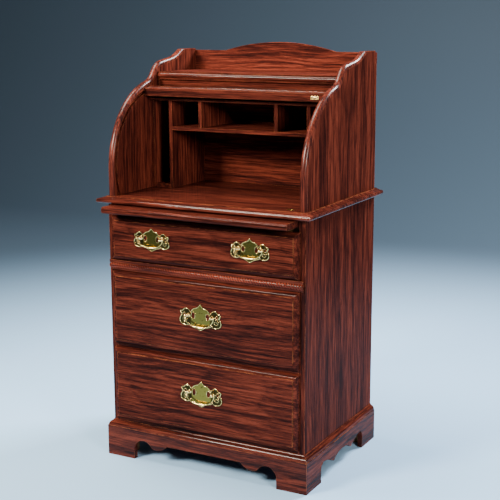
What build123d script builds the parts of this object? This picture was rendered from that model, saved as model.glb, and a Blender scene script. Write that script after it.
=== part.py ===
from build123d import *
import os
from math import cos, hypot, radians, sin

# Roll top desk: a bracket base, a case with three lipped drawers, a pull-out
# writing slide, a moulded writing slab, and a hutch whose slatted curtain runs
# in arc grooves over a set of pigeonholes.
# X runs to the right seen from the front, Y to the back, Z up. The origin is
# on the floor, under the middle of the whole footprint, slide included.

os.makedirs("parts", exist_ok=True)

# ---- Fits ----
glue_gap = 0.05       # between glued pieces kept as separate solids
running_gap = 0.3     # under and beside a piece that slides on wood
pin_fit = 0.06        # radial, bail pin in its post
stem_fit = 0.05       # radial, post stem in plate, front and nut
panel_fit = 0.1       # each face of a panel in its groove
groove_fit = 0.5      # each face of a slat in its groove

# ---- Case ----
case_w = 608.0        # over the two sides
case_d = 460.0        # front edges of the sides to the back
side_t = 19.0
case_foot_z = 60.0    # underside of the sides, behind the bracket base
back_t = 6.0
back_inset = 1.0
rabbet_w = 8.0
rail_d = 50.0         # front to back
runner_w = 23.0

# ---- Bracket base ----
plinth_front_t = 16.0
plinth_side_t = 14.0
plinth_face_h = 88.0  # up to the moulding
plinth_h = 105.0      # with the moulding
plinth_step = 2.0
plinth_nose = (5.0, 11.5)   # depth and height of the rounded part
plinth_cove_d = 7.0         # depth of the hollow above it
foot_front_w = 90.0   # flat on the floor, from the outer corner
foot_side_w = 94.0
apron_h = 55.5        # clear height under the straight part of the apron
# Scrolled aprons, as (in from the foot, height): ends and middles of the arcs.
front_scroll = ((0.0, 33.0), (30.0, 59.0), (59.0, 41.0), (84.0, 39.0), (110.0, apron_h))
side_scroll = (
    (0.0, 34.0), (5.0, 49.0), (18.0, apron_h), (46.0, 50.5), (76.0, 37.5),
    (84.0, 34.5), (92.0, 38.0), (114.0, 47.0),
)
side_apron_h = 50.0   # in the middle of the side
nose_mid = (0.24, 0.59)     # middle of the rounded part, shares of its depth and height
cove_mid = (0.6, 0.31)      # middle of the hollow above it
plinth_back_h = 60.0
plinth_back_arch = 35.0
plinth_back_foot = 104.0
block_w = 50.0        # glue blocks in the corners
block_lift = 1.0

# ---- Heights up the front ----
base_reveal = 10.0    # case edge that shows above the base moulding
low_h = 212.0         # drawer fronts over their lips
mid_h = 211.0
top_h = 125.0
rail_show = 11.0      # between the two deep drawers
band_show = 33.0      # between the middle and the top drawer
band_lift = 2.0       # rope moulding above the middle drawer's lip
band_h = 29.0
band_short = 4.0      # ends short of the case sides
band_out = 10.0
rope_r = 7.5
fillet_h = 5.0        # square fillet under the rope
strip_h = 8.0         # flat strip over the rope
slide_under = 13.0    # open slot under the slide
slide_t = 18.0
slide_over = 3.0
slab_t = 18.0

# ---- Drawers ----
lap_side = 4.5        # lip over the case sides
lap_rail = 5.0        # lip over rails
front_out = 18.0      # face in front of the case
front_in = 8.0        # rebated part behind the lip
lip_t = 3.5
face_step = 2.0
thumb_w = 11.0        # width of the rounded edge in plan
box_gap = 3.0         # box to case side
box_len = 414.0       # sides, behind the front
box_side_t = 12.0
box_low = 10.0        # sides lower than the rebated front
box_head = 2.0        # front below the rail above
bottom_t = 6.0
bottom_lift = 10.0
bottom_groove = 5.0

# ---- Pulls: plate width and height, post half spacing, bail drop ----
pull_small = (110.0, 62.0, 33.0, 24.0)
pull_large = (126.0, 71.0, 37.0, 30.0)
pull_top_x = 152.0    # two pulls on the top drawer
pull_low_z = 117.0    # plate middle above the lip's lower edge
pull_mid_z = 112.0
pull_top_z = 68.0
plate_t = 2.0
post_lift = 4.0       # posts above the plate's middle
post_out = 9.0        # bail pin in front of the plate
post_head_r = 4.6
post_base_r = 6.0
post_base_t = 1.5
post_neck_r = 2.8
stem_r = 2.5
nut_af = 9.0
nut_t = 4.0
pin_r = 1.6
bail_r = 2.1
bail_arm = 8.2        # arm outside its post
bail_lean = 1.0       # arms closer together at the bottom, each
bail_elbow = 3.2      # bend at the top of each arm
bail_corner = 12.0
bail_shoulder = 0.4   # rod clear of the post's head

# ---- Writing slide ----
slide_side_gap = 3.0
slide_edge_w = 18.0
slide_len = 382.0     # board behind its front edge
slide_out = 68.0      # front edge before the case front, as it stands
slide_bar_back = 22.0 # cross rail behind the case front
slide_bar_d = 35.0
cleat_w = 20.0
cleat_h = 15.0

# ---- Writing slab ----
slab_over_side = 23.5
slab_over_front = 26.0
slab_over_back = 10.0
slab_edge_w = 20.0    # moulded edge in plan
slab_step = 1.5

# ---- Hutch ----
hutch_side_t = 20.0
hutch_setback = 2.0   # side's front edge before the case front
tambour_r = 208.0     # middle of the slats
slat_t = 9.0
slat_n = 20
slat_pitch = 5.665    # degrees
slat_gap = 0.3
slat_crown = 3.0
canvas_t = 1.0
groove_d = 8.0
arc_up = 77.0         # curtain's centre above the slab
groove_wall = 31.0    # side's curved edge outside the groove, as a radius
front_wall = 8.0      # wood before the groove at the front edge
riser_h = 70.0        # straight front edge of the side above the slab
rest_turn = 95.5      # curtain as it stands, degrees up from closed
slat_first = -13.3    # lower edge of the first slat when closed
lift_rail_t = 20.0
rail_clear = 1.5      # closed rail over the slab
finger_r = 5.0
nosing_d = 12.0
nosing_r = 9.5
crest_t = 12.0
crest_proud = 2.0     # behind the case back
crest_drop = 70.0     # lower edge under the top of the sides
crest_rise = 21.0
crest_shoulder = 5.0
crest_arch = 180.0    # half width of the raised part
ear_notch = 35.0
hutch_back_inset = 2.0
shelf_t = 20.0
shelf_back = 12.0     # front of its moulding behind the curtain's centre
shelf_edge_d = 11.0
shelf_bead = 1.0      # moulding above and below its shelf
fascia_t = 12.0
fascia_h = 20.0
cleat_small = 6.5
catch_x = 250.0
catch_w = 24.0
catch_d = 9.0
catch_t = 1.5

# ---- Pigeonholes ----
pigeon_t = 10.0
pigeon_front = 25.0   # before the curtain's centre
pigeon_rear = 45.5    # back board's front face inside the canvas
pigeon_head = 27.5    # underside of the thin top inside the canvas
pigeon_top_t = 6.0
slot_w = 51.0
cubby_w = 88.5
cubby_h = 73.5        # clear height over the pigeon shelf
knee_clear = 8.1      # knee of the back inside the canvas
top_clear = 4.1       # rear edge of the thin top inside the canvas
floor_t = 11.0

# ---- Places that follow from the sizes above ----
case_x = case_w / 2
in_x = case_x - side_t
back_y = (case_d + slide_out - slab_over_back) / 2
front_y = back_y - case_d
low_z = plinth_h + base_reveal
mid_z = low_z + low_h + rail_show
band_z = mid_z + mid_h + band_lift
top_z = mid_z + mid_h + band_show
slide_z = top_z + top_h + slide_under
slab_z = slide_z + slide_t + slide_over
desk_z = slab_z + slab_t
panel_y = back_y - back_inset - back_t
box_x = in_x - box_gap
face_y = front_y - front_out

hutch_in = case_x - hutch_side_t
hutch_y = front_y - hutch_setback
groove_r = (tambour_r - slat_t / 2 - groove_fit, tambour_r + slat_t / 2 + groove_fit)
hutch_r = groove_r[1] + groove_wall
arc_y = hutch_y + front_wall + groove_r[1]
arc_z = desk_z + arc_up
shelf_z = arc_z + groove_r[1] + fascia_h
shelf_y = arc_y + shelf_back
pigeon_y = arc_y - pigeon_front
canvas_in = tambour_r - slat_t / 2 - canvas_t


def board(x, y, z, mode=Mode.ADD):
    """A plain board between its faces, each of x, y and z as (low, high)."""
    with Locations((sum(x) / 2, sum(y) / 2, sum(z) / 2)):
        Box(x[1] - x[0], y[1] - y[0], z[1] - z[0], mode=mode)


def keep(piece, name):
    """Labels a finished piece and writes its file."""
    piece.part.label = name
    export_step(piece.part, f"parts/{name}.step")


def mirrored(piece, name):
    """Writes the left-hand copy of a right-hand piece."""
    with BuildPart() as copy:
        mirror(piece.part, about=Plane.YZ)
    keep(copy, name)


# =====================================================================
# Bracket base: mitred front and side boards with an ogee on top
# =====================================================================
def base_profile(depth):
    """Half outline of the base moulding: (distance in from the face, height)."""
    nose_d, nose_h = plinth_nose
    a = (plinth_step, plinth_face_h)
    b = (a[0] + nose_d, a[1] + nose_h)
    c = (b[0] + plinth_cove_d, plinth_h)
    scale = depth / plinth_front_t
    points = [a, (a[0] + nose_mid[0] * nose_d, a[1] + nose_mid[1] * nose_h), b]
    points += [(b[0] + cove_mid[0] * plinth_cove_d, b[1] + cove_mid[1] * (plinth_h - b[1])), c]
    return [(p[0] * scale, p[1]) for p in points]


def base_section(depth, face, inward):
    """Draws the base board's section with its face at `face`."""
    a, a_b, b, b_c, c = [(face + inward * d, z) for d, z in base_profile(depth)]
    with BuildSketch(Plane.XY) as section:
        with BuildLine():
            Polyline((face, 0), (face, plinth_face_h), a)
            ThreePointArc(a, a_b, b)
            ThreePointArc(b, b_c, c)
            Polyline(c, (face + inward * depth, plinth_h), (face + inward * depth, 0), (face, 0))
        make_face()
    return section.sketch


base_x = case_x + plinth_side_t
base_y = front_y - plinth_front_t


def mitre(side):
    """The upright plane of the mitre at the right (1) or left (-1) front corner."""
    return Plane(
        origin=(side * base_x, base_y, 0),
        x_dir=(0, 0, 1),
        z_dir=(side * plinth_front_t, plinth_side_t, 0),
    )


with BuildPart() as plinth_front:
    with BuildSketch(Plane.YZ):
        add(base_section(plinth_front_t, base_y, 1))
    extrude(amount=base_x, both=True)
    with BuildSketch(Plane.XZ.offset(-front_y)):
        with BuildLine():
            foot = base_x - foot_front_w
            rise, hollow, point, round_off, end = [(foot - d, z) for d, z in front_scroll]
            Polyline((0, 0), (foot, 0), rise)
            ThreePointArc(rise, hollow, point)
            ThreePointArc(point, round_off, end)
            Polyline(end, (0, apron_h), (0, 0))
        make_face()
        mirror(about=Plane.YZ)
    extrude(amount=plinth_front_t, mode=Mode.SUBTRACT)
    split(bisect_by=mitre(1), keep=Keep.BOTTOM)
    split(bisect_by=mitre(-1), keep=Keep.BOTTOM)
keep(plinth_front, "plinth_front")

side_mid = (base_y + back_y) / 2
with BuildPart() as plinth_side:
    with BuildSketch(Plane.XZ.offset(-back_y)):
        add(base_section(plinth_side_t, base_x, -1))
    extrude(amount=back_y - base_y)
    with BuildSketch(Plane(origin=(case_x, side_mid, 0), x_dir=(0, 1, 0), z_dir=(1, 0, 0))):
        with BuildLine():
            foot = (back_y - base_y) / 2 - foot_side_w
            a, a_b, b, b_c, c, c_d, d, d_end = [(foot - x, z) for x, z in side_scroll]
            Polyline((0, 0), (foot, 0), a)
            ThreePointArc(a, a_b, b)
            ThreePointArc(b, b_c, c)
            ThreePointArc(c, c_d, d)
            ThreePointArc(d, d_end, (0, side_apron_h))
            Line((0, side_apron_h), (0, 0))
        make_face()
        mirror(about=Plane.YZ)
    extrude(amount=plinth_side_t, mode=Mode.SUBTRACT)
    split(bisect_by=mitre(1), keep=Keep.TOP)
keep(plinth_side, "plinth_side_right")
mirrored(plinth_side, "plinth_side_left")

with BuildPart() as plinth_back:
    board((-case_x, case_x), (back_y - plinth_front_t, back_y), (0, case_foot_z))
    arch_x = case_x - plinth_back_foot
    board((-arch_x, arch_x), (back_y - plinth_front_t, back_y), (0, plinth_back_arch), Mode.SUBTRACT)
keep(plinth_back, "plinth_back")

with BuildPart() as corner_blocks:
    for side in (-1, 1):
        across = sorted((side * (case_x - block_w), side * case_x))
        board(across, (front_y, front_y + block_w), (block_lift, case_foot_z))
        rear = back_y - plinth_front_t
        board(across, (rear - block_w, rear), (block_lift, case_foot_z))
keep(corner_blocks, "corner_blocks")

# =====================================================================
# Case: sides, bottom, back, rails and runners
# =====================================================================
case_bottom_z = low_z + lap_rail
with BuildPart() as case_side:
    board((in_x, case_x), (front_y, back_y), (case_foot_z, slab_z))
    board(
        (in_x, in_x + rabbet_w), (panel_y, back_y), (case_foot_z, slab_z),
        Mode.SUBTRACT,
    )
keep(case_side, "case_side_right")
mirrored(case_side, "case_side_left")

with BuildPart() as case_bottom:
    board((-in_x, in_x), (front_y, panel_y), (case_bottom_z - side_t, case_bottom_z))
keep(case_bottom, "case_bottom")

with BuildPart() as case_back:
    back_x = in_x + rabbet_w - panel_fit
    board((-back_x, back_x), (panel_y, panel_y + back_t), (case_foot_z, slab_z))
keep(case_back, "case_back")

low_rail = (low_z + low_h - lap_rail, mid_z + lap_rail)
mid_rail = (mid_z + mid_h - lap_rail, top_z + lap_rail)
top_rail = (top_z + top_h - lap_rail, slide_z - running_gap)

for rail_z, name in ((low_rail, "drawer_rail_lower"), (mid_rail, "drawer_rail_upper")):
    with BuildPart() as rail:
        board((-in_x, in_x), (front_y, front_y + rail_d), rail_z)
    keep(rail, name)

with BuildPart() as drawer_runners:
    for top in (low_rail[1], mid_rail[1]):
        for side in (-1, 1):
            across = sorted((side * (in_x - runner_w), side * in_x))
            board(across, (front_y + rail_d, panel_y), (top - side_t, top))
keep(drawer_runners, "drawer_runners")

bar_y = front_y + slide_bar_back
with BuildPart() as slide_cross_rail:
    board((-in_x, in_x), (bar_y, bar_y + slide_bar_d), top_rail)
keep(slide_cross_rail, "slide_cross_rail")

with BuildPart() as slide_cleats:
    for side in (-1, 1):
        across = sorted((side * (in_x - cleat_w), side * in_x))
        board(across, (bar_y + slide_bar_d, panel_y), (top_rail[1] - cleat_h, top_rail[1]))
keep(slide_cleats, "slide_cleats")

# Moulding across the case: a square fillet, a rope bead and a flat strip.
with BuildPart() as rope_moulding:
    with BuildSketch(Plane.YZ):
        rope_z = band_z + fillet_h + rope_r
        rope_y = front_y - band_out + rope_r
        with BuildLine():
            Polyline(
                (front_y, band_z), (front_y - band_out / 2, band_z),
                (front_y - band_out / 2, band_z + fillet_h), (rope_y, band_z + fillet_h),
            )
            ThreePointArc(
                (rope_y, band_z + fillet_h), (rope_y - rope_r, rope_z), (rope_y, rope_z + rope_r)
            )
            Polyline(
                (rope_y, rope_z + rope_r), (rope_y, band_z + band_h - strip_h),
                (front_y - band_out + 1, band_z + band_h - strip_h),
                (front_y - band_out + 1, band_z + band_h), (front_y, band_z + band_h),
                (front_y, band_z),
            )
        make_face()
    extrude(amount=case_x - band_short, both=True)
keep(rope_moulding, "rope_moulding")


# =====================================================================
# Drawers: a lipped front with a rounded edge all round, and a box behind
# =====================================================================
def front_section(plane, low, high, width):
    """The raised front's section between two lip edges, on a plane through Y."""
    with BuildSketch(plane) as section:
        with BuildLine():
            lip = front_out - lip_t
            rise = lip - face_step
            edge = []
            for start, inward in ((low, 1), (high, -1)):
                bend = start + inward * thumb_w * (1 - cos(radians(45)))
                edge.append([
                    (start, 0), (start, lip_t), (bend, lip_t + rise * sin(radians(45))),
                    (start + inward * thumb_w, lip_t + rise),
                    (start + inward * (thumb_w + face_step), lip_t + rise),
                    (start + inward * (thumb_w + face_step), front_out),
                ])
            left, right = edge
            Line(left[0], left[1])
            ThreePointArc(left[1], left[2], left[3])
            Polyline(left[3], left[4], left[5], right[5], right[4], right[3])
            ThreePointArc(right[3], right[2], right[1])
            Polyline(right[1], right[0], left[0])
        make_face()
    extrude(section.sketch, amount=width, both=True, mode=Mode.INTERSECT)


def stem_holes(pull, spots, plane_y, depth):
    """Bores the two stem holes of each pull, from plane_y back through `depth`."""
    for x, z in spots:
        for side in (-1, 1):
            with Locations((x + side * pull[2], plane_y + depth / 2, z + post_lift)):
                Cylinder(stem_r + stem_fit, depth + 1, rotation=(90, 0, 0), mode=Mode.SUBTRACT)


def plate_outline(pull):
    """Batwing outline: a pointed middle field between two lobed wings."""
    w, h = pull[0] / 2, pull[1] / 2
    arcs = [
        ((0, 1), (0.08, 0.80), (0.20, 0.68)), ((0.20, 0.68), (0.34, 0.59), (0.44, 0.39)),
        ((0.44, 0.39), (0.47, 0.34), (0.51, 0.32)), ((0.51, 0.32), (0.57, 0.48), (0.65, 0.58)),
        ((0.65, 0.58), (0.77, 0.56), (0.84, 0.42)), ((0.84, 0.42), (0.92, 0.35), (1, 0.39)),
        ((1, 0.39), (0.93, 0.18), (0.91, 0)), ((0.91, 0), (1.0, -0.36), (0.82, -0.64)),
        ((0.82, -0.64), (0.68, -0.66), (0.56, -0.46)), ((0.56, -0.46), (0.50, -0.60), (0.44, -0.66)),
        ((0.44, -0.66), (0.20, -0.78), (0, -1)),
    ]
    with BuildSketch() as outline:
        with BuildLine():
            for points in arcs:
                ThreePointArc(*[(u * w, v * h) for u, v in points])
            Line((0, -h), (0, h))
        make_face()
        mirror(about=Plane.YZ)
        with Locations((-0.36 * w, 0.1 * h), (0.36 * w, 0.1 * h)):
            Ellipse(0.085 * w, 0.25 * h, mode=Mode.SUBTRACT)
        with Locations((-0.81 * w, 0.13 * h), (0.81 * w, 0.13 * h)):
            Circle(0.068 * w, mode=Mode.SUBTRACT)
        with Locations((-pull[2], post_lift), (pull[2], post_lift)):
            Circle(stem_r + stem_fit, mode=Mode.SUBTRACT)
    return outline.sketch


def pull_post(x, z):
    """A turned post: stem through the front, flanged base, neck and ball head."""
    plate_face = plate_t
    head = plate_face + post_out
    seat = (post_head_r**2 - post_neck_r**2) ** 0.5
    with BuildSketch(Plane(origin=(x, face_y, z), x_dir=(1, 0, 0), z_dir=(0, 0, 1))) as half:
        with BuildLine():
            stem_end = front_out + front_in + nut_t + 2
            Polyline(
                (0, stem_end), (stem_r, stem_end), (stem_r, -plate_face),
                (post_base_r, -plate_face), (post_base_r, -plate_face - post_base_t),
                (post_neck_r, -plate_face - post_base_t - 1), (post_neck_r, -head + seat),
            )
            ThreePointArc((post_neck_r, -head + seat), (post_head_r, -head), (0, -head - post_head_r))
            Line((0, -head - post_head_r), (0, stem_end))
        make_face()
    revolve(half.sketch, axis=Axis((x, face_y, z), (0, 1, 0)))
    with Locations((x, face_y - head, z)):
        Cylinder(pin_r + pin_fit, 2 * post_head_r + 1, rotation=(0, 90, 0), mode=Mode.SUBTRACT)
    with BuildSketch(Plane(origin=(x, face_y + front_out + front_in, z), x_dir=(1, 0, 0),
                           z_dir=(0, 1, 0))) as nut:
        RegularPolygon(nut_af / 2, 6, major_radius=False)
        Circle(stem_r + stem_fit, mode=Mode.SUBTRACT)
    extrude(nut.sketch, amount=nut_t)


def pull_bail(pull, x, z, name):
    """The swinging handle: two pins and a bent rod hanging from them."""
    arm = pull[2] + bail_arm
    start = pull[2] + post_head_r + bail_shoulder
    rod_y = face_y - plate_t - post_out
    with BuildPart() as bail:
        with BuildLine(Plane(origin=(x, rod_y, z), x_dir=(1, 0, 0), z_dir=(0, -1, 0))) as path:
            FilletPolyline(
                (-start, 0), (-arm - bail_lean, 0), (-arm + bail_lean, -pull[3]),
                (arm - bail_lean, -pull[3]), (arm + bail_lean, 0), (start, 0),
                radius=[bail_elbow, bail_corner, bail_corner, bail_elbow],
            )
        with BuildSketch(Plane(origin=(x - start, rod_y, z), z_dir=(-1, 0, 0))):
            Circle(bail_r)
        sweep(path=path.line)
        for side in (-1, 1):
            tip = pull[2] - post_head_r + 0.6
            with Locations((x + side * (start + tip) / 2, rod_y, z)):
                Cylinder(pin_r, start - tip + 0.4, rotation=(0, 90, 0))
    keep(bail, name)


def drawer(tag, lip_z, lip_h, rail_above, pull, pull_x, pull_z, bails):
    """Front, box, bottom and pulls of one drawer; lip_z is its lower edge."""
    lip_x = in_x + lap_side
    floor_z = lip_z + lap_rail + running_gap
    head_z = rail_above - box_head
    spots = [(x, lip_z + pull_z) for x in pull_x]
    box_y = front_y + front_in
    panel_z = floor_z + bottom_lift
    groove = (panel_z - panel_fit, panel_z + bottom_t + panel_fit)
    with BuildPart() as front:
        board((-lip_x, lip_x), (face_y, front_y), (lip_z, lip_z + lip_h))
        across = Plane(origin=(0, front_y, lip_z + lip_h / 2), x_dir=(1, 0, 0), z_dir=(0, 0, -1))
        front_section(across, -lip_x, lip_x, lip_h)
        upright = Plane(origin=(0, front_y, lip_z), x_dir=(0, 0, 1), z_dir=(1, 0, 0))
        front_section(upright, 0, lip_h, lip_x)
        board((-box_x, box_x), (front_y, box_y), (floor_z, head_z))
        board((-box_x, box_x), (box_y - bottom_groove, box_y), groove, Mode.SUBTRACT)
        stem_holes(pull, spots, face_y, front_out + front_in)
    keep(front, f"drawer_front_{tag}")

    with BuildPart() as box:
        box_top = head_z - box_low
        box_end = box_y + box_len
        inner = box_x - box_side_t
        for side in (-1, 1):
            across = sorted((side * inner, side * box_x))
            board(across, (box_y, box_end), (floor_z, box_top))
            slot = sorted((side * inner, side * (inner + bottom_groove)))
            board(slot, (box_y, box_end), groove, Mode.SUBTRACT)
        tail = inner - glue_gap
        board((-tail, tail), (box_end - box_side_t, box_end), (groove[1], box_top))
    keep(box, f"drawer_box_{tag}")

    with BuildPart() as bottom:
        panel_x = inner + bottom_groove - panel_fit
        board((-panel_x, panel_x), (box_y - bottom_groove + panel_fit, box_end),
              (panel_z, panel_z + bottom_t))
    keep(bottom, f"drawer_bottom_{tag}")

    with BuildPart() as plates:
        outline = plate_outline(pull)
        for x, z in spots:
            with BuildSketch(Plane(origin=(x, face_y, z), x_dir=(1, 0, 0), z_dir=(0, -1, 0))) as here:
                add(outline)
            extrude(here.sketch, amount=plate_t)
    keep(plates, f"pull_plate_{tag}")

    with BuildPart() as posts:
        for x, z in spots:
            for side in (-1, 1):
                pull_post(x + side * pull[2], z + post_lift)
    keep(posts, f"pull_posts_{tag}")

    for (x, z), name in zip(spots, bails):
        pull_bail(pull, x, z + post_lift, name)


drawer("low", low_z, low_h, low_rail[0], pull_large, [0], pull_low_z, ["bail_low"])
drawer("mid", mid_z, mid_h, mid_rail[0], pull_large, [0], pull_mid_z, ["bail_mid"])
drawer("top", top_z, top_h, top_rail[0], pull_small, [-pull_top_x, pull_top_x], pull_top_z,
       ["bail_top_left", "bail_top_right"])

# =====================================================================
# Writing slide: a board with a rounded front edge
# =====================================================================
slide_x = in_x - slide_side_gap
slide_y = front_y - slide_out
with BuildPart() as writing_slide:
    board((-slide_x, slide_x), (slide_y + slide_edge_w, slide_y + slide_edge_w + slide_len),
          (slide_z, slide_z + slide_t))
keep(writing_slide, "writing_slide")

with BuildPart() as slide_edge:
    board((-slide_x, slide_x), (slide_y, slide_y + slide_edge_w), (slide_z, slide_z + slide_t))
    fillet(slide_edge.edges().filter_by(Axis.X).group_by(Axis.Y)[0], radius=slide_t * 0.36)
keep(slide_edge, "slide_front_edge")


# =====================================================================
# Writing slab with an ogee edge on the front and both sides
# =====================================================================
def ogee(edge, inward):
    """Points of the slab's edge, from its underside up to the flat top."""
    rise = slab_t - slab_step
    shape = [(5, 0), (0.6, 0.18 * rise), (0, 0.39 * rise), (1.2, 0.65 * rise), (5, 0.76 * rise),
             (12, 0.84 * rise), (slab_edge_w - 2, rise)]
    return [(edge + inward * d, h) for d, h in shape] + [
        (edge + inward * slab_edge_w, rise), (edge + inward * slab_edge_w, slab_t)]


def ogee_edge(points):
    """Draws the moulded edge through its points."""
    ThreePointArc(points[0], points[1], points[2])
    ThreePointArc(points[2], points[3], points[4])
    ThreePointArc(points[4], points[5], points[6])
    Polyline(points[6], points[7], points[8])


slab_x = case_x + slab_over_side
slab_y = (front_y - slab_over_front, back_y + slab_over_back)
catch_y = arc_y - tambour_r * cos(radians(20.6))
with BuildPart() as writing_slab:
    with BuildSketch(Plane(origin=(0, slab_y[0], slab_z), x_dir=(1, 0, 0), z_dir=(0, -1, 0))):
        with BuildLine():
            right = ogee(slab_x, -1)
            left = ogee(-slab_x, 1)
            ogee_edge(right)
            ogee_edge(left)
            Line(right[8], left[8])
            Line(right[0], left[0])
        make_face()
    extrude(amount=slab_y[0] - slab_y[1])
    with BuildSketch(Plane(origin=(0, 0, slab_z), x_dir=(0, 1, 0), z_dir=(1, 0, 0))) as along:
        with BuildLine():
            nose = ogee(slab_y[0], 1)
            ogee_edge(nose)
            Polyline(nose[8], (slab_y[1], slab_t), (slab_y[1], 0), nose[0])
        make_face()
    extrude(amount=slab_x, both=True, mode=Mode.INTERSECT)
    board((catch_x - catch_w / 2, catch_x + catch_w / 2), (catch_y - catch_d / 2, catch_y + catch_d / 2),
          (desk_z - catch_t, desk_z), Mode.SUBTRACT)
keep(writing_slab, "writing_slab")

with BuildPart() as catch_strike:
    board((catch_x - catch_w / 2, catch_x + catch_w / 2), (catch_y - catch_d / 2, catch_y + catch_d / 2),
          (desk_z - catch_t, desk_z))
    board((catch_x - 5, catch_x + 5), (catch_y - 1.5, catch_y + 1.5), (desk_z - catch_t, desk_z),
          Mode.SUBTRACT)
keep(catch_strike, "catch_strike")

# =====================================================================
# Hutch sides: a curved board with a rounded nosing along its front edge
# =====================================================================
extra = 60.0
with BuildLine() as front_curve:
    riser = Line((hutch_y, desk_z - extra), (hutch_y, desk_z + riser_h))
    bow = JernArc(riser @ 1, riser % 1, hutch_r, -76)
    hollow = JernArc(bow @ 1, bow % 1, 60, 38)
    step_up = PolarLine(hollow @ 1, 17, direction=hollow % 1)
    brow = JernArc(step_up @ 1, step_up % 1, 55, -44)
    tread = PolarLine(brow @ 1, 50, direction=brow % 1)
    lift = JernArc(tread @ 1, tread % 1, 120, 19)
    crown = PolarLine(lift @ 1, 22, direction=lift % 1)
    beyond = PolarLine(crown @ 1, extra, direction=crown % 1)
hutch_top = (crown @ 1).Y


def side_face(inset):
    """Outline of the hutch side, its curved edge moved in by `inset`."""
    with BuildSketch() as face:
        with BuildLine():
            add(front_curve.line)
            end = beyond @ 1
            Polyline(end, (back_y + extra, end.Y), (back_y + extra, desk_z - extra), riser @ 0)
        make_face()
        if inset:
            offset(amount=-inset)
        with Locations(((hutch_y + back_y) / 2, (desk_z + hutch_top) / 2)):
            Rectangle(back_y - hutch_y, hutch_top - desk_z, mode=Mode.INTERSECT)
    return face.sketch


def groove_cut():
    """Cuts the curtain's arc groove in the inner face of the right side."""
    with BuildSketch(Plane(origin=(hutch_in, arc_y, arc_z), x_dir=(0, 1, 0), z_dir=(1, 0, 0))) as ring:
        Circle(groove_r[1])
        Circle(groove_r[0], mode=Mode.SUBTRACT)
    extrude(ring.sketch, amount=groove_d, mode=Mode.SUBTRACT)


crest_low = hutch_top - crest_drop
ear_z = hutch_top - ear_notch
crest_in = back_y + crest_proud - crest_t
hutch_panel_y = back_y - hutch_back_inset - back_t
with BuildPart() as hutch_side:
    with BuildSketch(Plane.YZ.offset(hutch_in)):
        add(side_face(nosing_d))
    extrude(amount=hutch_side_t)
    groove_cut()
    board((hutch_in, case_x), (crest_in, back_y), (ear_z, hutch_top), Mode.SUBTRACT)
    board((hutch_in, hutch_in + rabbet_w), (hutch_panel_y, back_y), (desk_z, crest_low), Mode.SUBTRACT)
keep(hutch_side, "hutch_side_right")
mirrored(hutch_side, "hutch_side_left")

with BuildPart() as hutch_nosing:
    with BuildSketch(Plane.YZ.offset(hutch_in)):
        add(side_face(0))
        add(side_face(nosing_d), mode=Mode.SUBTRACT)
    extrude(amount=hutch_side_t)
    curve = front_curve.line
    rim = hutch_nosing.edges().filter_by(
        lambda edge: curve.distance_to(Vertex((edge @ 0.5).Y, (edge @ 0.5).Z, 0)) < 0.01
        and abs((edge % 0.5).X) < 0.01
    )
    fillet(rim, radius=nosing_r)
    groove_cut()
keep(hutch_nosing, "hutch_nosing_right")
mirrored(hutch_nosing, "hutch_nosing_left")

with BuildPart() as hutch_back:
    panel_x = hutch_in + rabbet_w - panel_fit
    board((-panel_x, panel_x), (hutch_panel_y, hutch_panel_y + back_t), (desk_z, crest_low))
keep(hutch_back, "hutch_back")

# =====================================================================
# Crest board across the back, and the shelf over the curtain
# =====================================================================
crest_out = crest_in + crest_t
with BuildPart() as crest_board:
    with BuildSketch(Plane.XZ.offset(-crest_in)):
        shoulder = hutch_top - crest_shoulder
        with BuildLine():
            Polyline((0, crest_low), (hutch_in, crest_low), (hutch_in, ear_z), (case_x, ear_z),
                     (case_x, shoulder), (crest_arch, shoulder))
            ThreePointArc((crest_arch, shoulder), (0, hutch_top + crest_rise), (-crest_arch, shoulder))
            Polyline((-crest_arch, shoulder), (-case_x, shoulder), (-case_x, ear_z), (-hutch_in, ear_z),
                     (-hutch_in, crest_low), (0, crest_low))
        make_face()
    extrude(amount=-crest_t)
keep(crest_board, "crest_board")

with BuildPart() as top_shelf:
    board((-hutch_in, hutch_in), (shelf_y + shelf_edge_d, crest_in), (shelf_z, shelf_z + shelf_t))
keep(top_shelf, "top_shelf")

with BuildPart() as shelf_moulding:
    with BuildSketch(Plane.YZ):
        low, high = shelf_z - shelf_bead, shelf_z + shelf_t + shelf_bead
        inner = shelf_y + shelf_edge_d
        bead = (high - low) / 2 - 4.0
        with BuildLine():
            Polyline((inner, low), (shelf_y + 4, low), (shelf_y + 4, low + 4))
            ThreePointArc((shelf_y + 4, low + 4), (shelf_y, low + 4 + bead), (shelf_y + 4, high - 4))
            Polyline((shelf_y + 4, high - 4), (shelf_y + 4, high), (inner, high), (inner, low))
        make_face()
    extrude(amount=hutch_in, both=True)
keep(shelf_moulding, "shelf_moulding")

fascia_y = shelf_y + shelf_edge_d
fascia_low = arc_z + groove_r[1]
with BuildPart() as shelf_fascia:
    board((-hutch_in, hutch_in), (fascia_y, fascia_y + fascia_t), (fascia_low, shelf_z))
keep(shelf_fascia, "shelf_fascia")

with BuildPart() as shelf_cleats:
    for side in (-1, 1):
        across = sorted((side * (hutch_in - cleat_small), side * hutch_in))
        board(across, (shelf_y, fascia_y), (fascia_low, shelf_z - shelf_bead))
keep(shelf_cleats, "shelf_cleats")


# =====================================================================
# Curtain: lift rail, slats and canvas, drawn where it stands, open
# =====================================================================
def curtain_plane(turn):
    """A plane across the curtain's axis, its X along `turn` degrees up from -Y."""
    a = radians(turn)
    return Plane(origin=(0, arc_y, arc_z), x_dir=(0, -cos(a), sin(a)), z_dir=(-1, 0, 0))


def polar(radius, degrees):
    return (radius * cos(radians(degrees)), radius * sin(radians(degrees)))


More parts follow.
